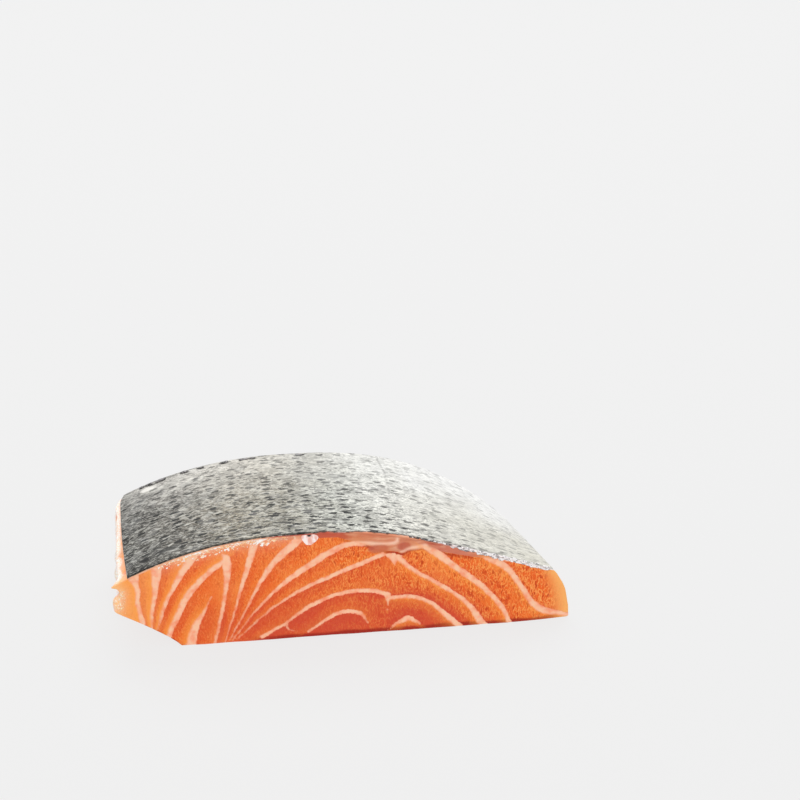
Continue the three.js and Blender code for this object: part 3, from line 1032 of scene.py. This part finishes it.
def make_scale_rows_tree():
    """Lays staggered rows of a scale over the surface that the modifier's object holds."""
    group = bpy.data.node_groups.new("scale rows", "GeometryNodeTree")
    kinds = {
        "Geometry": ("Geometry",),
        "Object": ("Scale",),
        "Material": ("Material",),
        "Float": ("Pitch", "Row", "Length", "Width", "Tilt", "Lift"),
        "Int": ("Seed",),
    }
    for kind, names in kinds.items():
        for name in names:
            group.interface.new_socket(name, in_out="INPUT", socket_type="NodeSocket" + kind)
    group.interface.new_socket("Geometry", in_out="OUTPUT", socket_type="NodeSocketGeometry")
    tree = Tree(group)
    given = tree.node("NodeGroupInput").outputs
    pitch, row_pitch = given["Pitch"], given["Row"]

    def random(low, high, salt):
        inputs = {"Min": low, "Max": high, "Seed": tree.plus(given["Seed"], float(salt))}
        return tree.find(tree.node("FunctionNodeRandomValue", inputs, data_type="FLOAT").outputs, "Value")

    # The points of the rows, with every second row set over by half a pitch.
    columns = tree.plus(tree.math("CEIL", tree.math("DIVIDE", given["Length"], pitch)), 3.0)
    rows = tree.plus(tree.math("CEIL", tree.math("DIVIDE", given["Width"], row_pitch)), 4.0)
    points = tree.node("GeometryNodePoints", {"Count": tree.times(columns, rows)}).outputs[0]
    index = tree.node("GeometryNodeInputIndex").outputs[0]
    row = tree.math("FLOOR", tree.math("DIVIDE", index, columns))
    column = tree.minus(index, tree.times(row, columns))
    set_over = tree.times(tree.math("MODULO", row, 2.0), 0.5)
    across = tree.minus(tree.times(tree.plus(column, set_over), pitch), tree.times(columns, pitch, 0.5))
    along = tree.minus(tree.times(row, row_pitch), tree.times(rows, row_pitch, 0.5))
    across = tree.plus(across, tree.times(random(-SCALE_JITTER, SCALE_JITTER, 1), pitch))
    along = tree.plus(along, tree.times(random(-SCALE_JITTER, SCALE_JITTER, 2), row_pitch))
    above = tree.node("ShaderNodeCombineXYZ", {0: across, 1: along, 2: RAY_HEIGHT * METRES}).outputs[0]
    placed = tree.node("GeometryNodeSetPosition", {"Geometry": points, "Position": above}).outputs[0]

    # Each point drops on the surface.
    downward = {"Source Position": above, "Ray Direction": (0, 0, -1), "Ray Length": 1.0}
    ray = tree.node("GeometryNodeRaycast", {"Target Geometry": given["Geometry"], **downward})
    hit, hit_place, hit_normal = (ray.outputs[name] for name in ("Is Hit", "Hit Position", "Hit Normal"))
    lift = tree.node("ShaderNodeVectorMath", {0: hit_normal, "Scale": given["Lift"]}, operation="SCALE")
    target = tree.vector("ADD", hit_place, lift.outputs[0]).outputs[0]
    placed = tree.node("GeometryNodeSetPosition", {"Geometry": placed, "Position": target}).outputs[0]

    # It carries a scale that lies along the surface, a little tilted and turned.
    upright = tree.node("FunctionNodeAlignRotationToVector", {"Vector": hit_normal}, axis="Z").outputs[0]
    tilt = tree.times(given["Tilt"], random(0.5, 1.5, 3))
    turns = {0: tilt, 1: random(-0.03, 0.03, 4), 2: random(-0.16, 0.16, 5)}
    turn = tree.node("ShaderNodeCombineXYZ", turns).outputs[0]
    turned = tree.node("FunctionNodeRotateRotation", {0: upright, 1: turn}, rotation_space="LOCAL").outputs[0]
    size = random(*SCALE_SIZES, 6)
    mark = {"Geometry": placed, "Name": "scale_chance", "Value": random(0.0, 1.0, 7)}
    marked = tree.node("GeometryNodeStoreNamedAttribute", mark, data_type="FLOAT", domain="POINT").outputs[0]
    one_scale = tree.node("GeometryNodeObjectInfo", {"Object": given["Scale"]}).outputs["Geometry"]
    laying = {"Points": marked, "Selection": hit, "Instance": one_scale, "Rotation": turned, "Scale": size}
    laid = tree.node("GeometryNodeInstanceOnPoints", laying).outputs[0]
    real = tree.node("GeometryNodeRealizeInstances", {"Geometry": laid}).outputs[0]
    finished = tree.node("GeometryNodeSetMaterial", {"Geometry": real, "Material": given["Material"]})
    tree.node("NodeGroupOutput", {"Geometry": finished.outputs[0]})
    return group


def trim_to_skin(mesh):
    """Cuts off what reaches past the edges of the skin and closes each cut scale."""
    shape = bmesh.new()
    shape.from_mesh(mesh)
    edges = (
        (1, -1, lambda place: cut_at(place[:, 0], 0) + fat_edge(place[:, 0])),
        (1, 1, lambda place: cut_at(place[:, 0], 1)),
        (0, -1, lambda place: back_edge(place[:, 1] / WIDTH + 0.5)),
        (0, 1, lambda place: between(BELLY_EDGE_X, place[:, 1] / WIDTH + 0.5)),
    )
    for axis, outward, edge in edges:
        normal = Vector((0, 0, 0))
        normal[axis] = outward
        shift_by(shape, axis, edge, -1)
        cut_away(shape, normal * -SCALE_MARGIN * METRES, normal)
        shift_by(shape, axis, edge, 1)
    shape.to_mesh(mesh)
    shape.free()


def shift_by(shape, axis, edge, sign):
    """Moves every point by where the edge lies there, so that a bent edge can be cut as a plane."""
    place = np.array([vertex.co for vertex in shape.verts]) / METRES
    for vertex, distance in zip(shape.verts, edge(place) * METRES):
        vertex.co[axis] += sign * distance


def cut_away(shape, point, normal):
    everything = shape.verts[:] + shape.edges[:] + shape.faces[:]
    cut = bmesh.ops.bisect_plane(shape, geom=everything, plane_co=point, plane_no=normal, clear_outer=True)
    rims = [item for item in cut["geom_cut"] if isinstance(item, bmesh.types.BMEdge)]
    bmesh.ops.holes_fill(shape, edges=rims, sides=0)


def make_scale_ground():
    """The face that the scales are laid on, reaching past the skin so that its edges are covered too."""
    columns, rows, past = 160, 60, 0.06
    share = np.linspace(-past, 1 + past, columns + 1)
    v = np.linspace(-past, 1 + past, rows + 1)
    u, v = (grid.ravel() for grid in np.meshgrid(share, v, indexing="ij"))
    x = lerp(between(BACK_EDGE_X, v), between(BELLY_EDGE_X, v), u)
    y = lerp(cut_at(x, 0), cut_at(x, 1), v)
    points = np.stack([x, y, skin_height(x, v) - SCALE_BED], -1)
    corner = np.arange((columns + 1) * (rows + 1)).reshape(columns + 1, rows + 1)
    faces = np.stack([corner[:-1, :-1], corner[1:, :-1], corner[1:, 1:], corner[:-1, 1:]], -1).reshape(-1, 4)
    return make_mesh("scale_ground", points, faces.tolist())


def make_scales():
    material = make_scale_material()
    scale = make_one_scale(material)
    carrier = add_object("scale_rows", make_scale_ground())
    modifier = carrier.modifiers.new("scale rows", "NODES")
    modifier.node_group = make_scale_rows_tree()
    items = modifier.node_group.interface.items_tree
    sockets = {item.name: item.identifier for item in items if item.in_out == "INPUT"}
    values = {
        "Scale": scale,
        "Material": material,
        "Pitch": SCALE_PITCH * METRES,
        "Row": SCALE_ROW * METRES,
        "Length": LENGTH * METRES,
        "Width": WIDTH * METRES,
        "Tilt": SCALE_TILT,
        "Lift": SCALE_LIFT * METRES,
        "Seed": SCALE_SEED,
    }
    for name, value in values.items():
        modifier[sockets[name]] = value
    graph = bpy.context.evaluated_depsgraph_get()
    laid = carrier.evaluated_get(graph)
    mesh = bpy.data.meshes.new_from_object(laid, preserve_all_data_layers=True, depsgraph=graph)
    bpy.data.objects.remove(carrier)
    bpy.data.objects.remove(scale)
    mesh.name = "skin_scales"
    trim_to_skin(mesh)
    piece = place_piece("skin_scales", mesh, material)
    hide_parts("skin")


# ---------------------------------------------------------------- small pieces along the edges of the skin

CRUMB_X = (-53, -21)
CRUMB_COUNT = 110
CRUMB_DROP = 2.2  # how far below the skin they reach
CRUMB_SIZE = (0.16, 0.42)
CRUMB_CLUSTER = ((-23.6, 0.9, 26), (-38.5, 3.5, 24))  # X, spread and number of those that lie close together
CLUSTER_SIZE = (0.3, 0.75)
CRUMB_SEED = 5
TORN_X = (19, 60.8)
TORN_COUNT = 130
FLAKE_SEED = 3
FRAY_X = (-57, -4)
FRAY_COUNT = 15
FRAY_SEED = 11
LOOSE_SCALE = (-9.8, 31.9, 3.1, 1.9)  # X, height and reach along and up
LOOSE_SCALE_SPOT = (-0.0099, -0.0265, 0.0334)  # place of a dark spot on it, in metres


def front_face(x, z):
    """Y of the front cut with the swell of its relief."""
    flat = np.stack([x, cut_at(x, 0), z], -1)
    return cut_at(x, 0) + CUT_RELIEF * np.clip(0.5 + 0.5 * ripple(flat, 9, 5), 0, 1)


def lumps(centres, reaches, leans, rng):
    """Closed lumps with the given reaches along X, Y and Z, leaning about Y, as points and faces."""
    points, faces = [], []
    rings, sides = 4, 7
    for centre, reach, lean in zip(centres, reaches, leans):
        first = len(points)
        cosine, sine = math.cos(lean), math.sin(lean)
        leaning = np.array([(cosine, 0, -sine), (0, 1, 0), (sine, 0, cosine)])
        for ring in range(rings + 1):
            down = math.pi * ring / rings
            for side in range(1 if ring in (0, rings) else sides):
                around = 2 * math.pi * side / sides
                ball = np.array([0, math.cos(around), math.sin(around)]) * math.sin(down)
                ball[0] = math.cos(down)
                points.append(centre + leaning @ (ball * reach * rng.uniform(0.85, 1.1)))
        last = len(points) - 1
        for side in range(sides):
            after = (side + 1) % sides
            faces.append([first, first + 1 + side, first + 1 + after])
            for ring in range(rings - 2):
                low, high = first + 1 + ring * sides, first + 1 + (ring + 1) * sides
                faces.append([low + side, high + side, high + after, low + after])
            faces.append([last - sides + side, last, last - sides + after])
    points = np.array(points)
    points[:, 1] = np.maximum(points[:, 1], cut_at(points[:, 0], 0) + 0.01)
    return points, faces


def make_crumbs():
    rng = np.random.default_rng(CRUMB_SEED)
    x = rng.uniform(*CRUMB_X, CRUMB_COUNT)
    for middle, spread, count in CRUMB_CLUSTER:
        x = np.concatenate([x, rng.normal(middle, spread, count)])
    drop = CRUMB_DROP * rng.random(len(x)) ** 2 + 0.15
    z = skin_height(x, 0) - SKIN_THICKNESS - drop
    across = rng.uniform(*CRUMB_SIZE, len(x))
    across[CRUMB_COUNT:] = rng.uniform(*CLUSTER_SIZE, len(x) - CRUMB_COUNT)
    reaches = np.stack([across, np.full(len(x), 0.2), across * rng.uniform(0.4, 0.8, len(x))], -1)
    centres = np.stack([x, front_face(x, z) + 0.1, z], -1)
    points, faces = lumps(centres, reaches, rng.uniform(0.1, 0.9, len(x)), rng)
    material, tree, surface = new_material("wet crumbs of fat")
    mottled = tree.ramp(tree.noise(tree.place(), 900.0, 2.0), 0.35, 0.6)
    tint = tree.mix(mottled, (255, 206, 164), (255, 250, 246))
    tree.feed_all(surface, {"Base Color": tint, "Roughness": 0.22})
    place_piece("fat_crumbs", make_mesh("fat_crumbs", points, faces), material)


def torn_skin_material():
    material, tree, surface = new_material("torn silver skin")
    tint = tree.mix(tree.ramp(tree.kept("shade"), 0.2, 0.45), (56, 54, 52), (246, 243, 243))
    mottled = tree.ramp(tree.noise(tree.place(), 1500.0, 2.0), 0.5, 0.38)
    tint = tree.mix(mottled, tint, (150, 144, 146))
    tree.feed_all(surface, {"Base Color": tint, "Roughness": 0.35})
    return material


def make_edge_flakes(material):
    """Torn bits of scale and silver skin that hang over the front edge towards the belly."""
    rng = np.random.default_rng(FLAKE_SEED)
    x = np.sort(rng.uniform(*TORN_X, TORN_COUNT))
    size = lerp(0.7, 1.15, smoothstep(26, 42, x))[:, None]
    reaches = rng.uniform((0.45, 0.12, 0.16), (1.2, 0.25, 0.55), (TORN_COUNT, 3)) * size
    y = cut_at(x, 0) + reaches[:, 1] + rng.uniform(0.01, 0.15, TORN_COUNT)
    drop = rng.uniform(0.2, 1.05, TORN_COUNT) * smoothstep(22, 36, x)
    z = skin_height(x, 0) - SCALE_BED - drop
    slope = np.arctan(skin_height(x + 0.5, 0) - skin_height(x - 0.5, 0))
    points, faces = lumps(np.stack([x, y, z], -1), reaches, slope + rng.normal(0, 0.15, TORN_COUNT), rng)
    mesh = make_mesh("torn_skin", points, faces)
    lightness = rng.random(TORN_COUNT) + 0.03 * (x - 34)
    keep_values(mesh, shade=np.repeat(lightness, len(points) // TORN_COUNT))
    place_piece("torn_skin", mesh, material)


def make_rear_frays(material):
    """Ends of scales that stand up a little along the rear edge of the back."""
    rng = np.random.default_rng(FRAY_SEED)
    x = rng.uniform(*FRAY_X, FRAY_COUNT)
    reaches = rng.uniform((0.7, 0.5, 0.1), (1.6, 0.9, 0.22), (FRAY_COUNT, 3))
    y = cut_at(x, 1) - 1.1 - rng.uniform(0, 0.3, FRAY_COUNT)
    z = skin_height(x, 1) - 0.02 - 0.1 * smoothstep(-34, -20, x)
    slope = np.arctan(skin_height(x + 0.5, 1) - skin_height(x - 0.5, 1))
    points, faces = lumps(np.stack([x, y, z], -1), reaches, slope + rng.uniform(0, 0.12, FRAY_COUNT), rng)
    mesh = make_mesh("rear_frays", points, faces)
    keep_values(mesh, shade=np.repeat(rng.uniform(0, 0.3, FRAY_COUNT), len(points) // FRAY_COUNT))
    place_piece("rear_frays", mesh, material)


def make_loose_scale():
    """One thin scale that has slid over the front edge of the skin."""
    centre_x, centre_z, reach_x, reach_z = LOOSE_SCALE

    def place(face, share, around):
        reach = share * (1 + 0.07 * math.sin(3 * around + 1))
        x = centre_x + reach_x * reach * math.cos(around) * (0.72 + 0.28 * math.sin(around))
        y = 0.01 - WIDTH / 2 + 0.03 * (1 - math.sin(around)) * reach + 0.16 * face * (1 - share**2)
        return x, y, centre_z + reach_z * reach * math.sin(around)

    points, faces, rim = plate(4, 22, place)
    mesh = make_mesh("loose_scale", points, faces)
    mark_sharp(mesh, rim)
    material, tree, surface = new_material("loose scale")
    veined = tree.noise(tree.stretch(tree.place(), (1.0, 1.0, 0.5)), 900.0, 3.0)
    tint = tree.mix(tree.ramp(veined, 0.35, 0.6), (240, 176, 160), (255, 238, 234))
    from_spot = tree.vector("DISTANCE", tree.place(), LOOSE_SCALE_SPOT).outputs["Value"]
    tint = tree.mix(tree.ramp(from_spot, 0.0008, 0.0004), tint, (52, 30, 30))
    tree.feed_all(surface, {"Base Color": tint, "Roughness": 0.2})
    place_piece("loose_scale", mesh, material)


# ---------------------------------------------------------------- table, light and camera

CAMERA_PLACE = (-63.7, -582.8, 323.0)
CAMERA_TURN = math.radians(8.156)
CAMERA_DIP = math.radians(23.94)
CAMERA_LENS = 100


def make_table():
    corners = [(-4000, -3000, 0), (4000, -3000, 0), (4000, 6000, 0), (-4000, 6000, 0)]
    mesh = make_mesh("table", corners, [(0, 1, 2, 3)])
    material, tree, surface = new_material("table")
    tree.feed_all(surface, {"Base Color": (0.06, 0.06, 0.06, 1), "Roughness": 0.8, "Specular IOR Level": 0.1})
    tree.feed_all(surface, {"Emission Color": (1, 1, 1, 1), "Emission Strength": 0.783})
    mesh.materials.append(material)
    add_object("table", mesh)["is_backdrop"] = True


def make_light(name, place, target, size, power):
    data = bpy.data.lights.new(name, "AREA")
    data.shape = "RECTANGLE"
    data.size, data.size_y = size
    data.energy = power
    lamp = add_object(name, data)
    lamp.location = place
    lamp.rotation_euler = (Vector(target) - Vector(place)).to_track_quat("-Z", "Y").to_euler()


def make_studio():
    world = bpy.data.worlds.new("studio")
    world.use_nodes = True
    background = world.node_tree.nodes["Background"]
    background.inputs["Color"].default_value = (1, 1, 1, 1)
    background.inputs["Strength"].default_value = 0.75
    bpy.context.scene.world = world
    make_light("softbox over the back", (0.1, 0.7, 1.0), (0, 0, 0), (1.2, 0.9), 9)
    make_light("front fill", (-0.3, -1.2, 0.8), (0, 0, 0.02), (1.2, 0.9), 5)
    bpy.context.scene.view_settings.view_transform = "Standard"


def make_camera():
    data = bpy.data.cameras.new("camera")
    data.lens = CAMERA_LENS
    data.sensor_width = 36
    data.clip_start, data.clip_end = 0.01, 20
    camera = add_object("camera", data)
    camera.location = Vector(CAMERA_PLACE) * METRES
    ahead = Vector((math.sin(CAMERA_TURN), math.cos(CAMERA_TURN), -math.tan(CAMERA_DIP)))
    camera.rotation_euler = ahead.to_track_quat("-Z", "Y").to_euler()
    bpy.context.scene.camera = camera


make_camera()
make_table()
make_studio()
make_flesh()
make_skin_sheet()
make_scales()
make_crumbs()
torn_skin = torn_skin_material()
make_edge_flakes(torn_skin)
make_rear_frays(torn_skin)
make_loose_scale()

boxes = {"cad": CAD_BOX, "visual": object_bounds()}
{name: [list(corner) for corner in box] for name, box in boxes.items()}
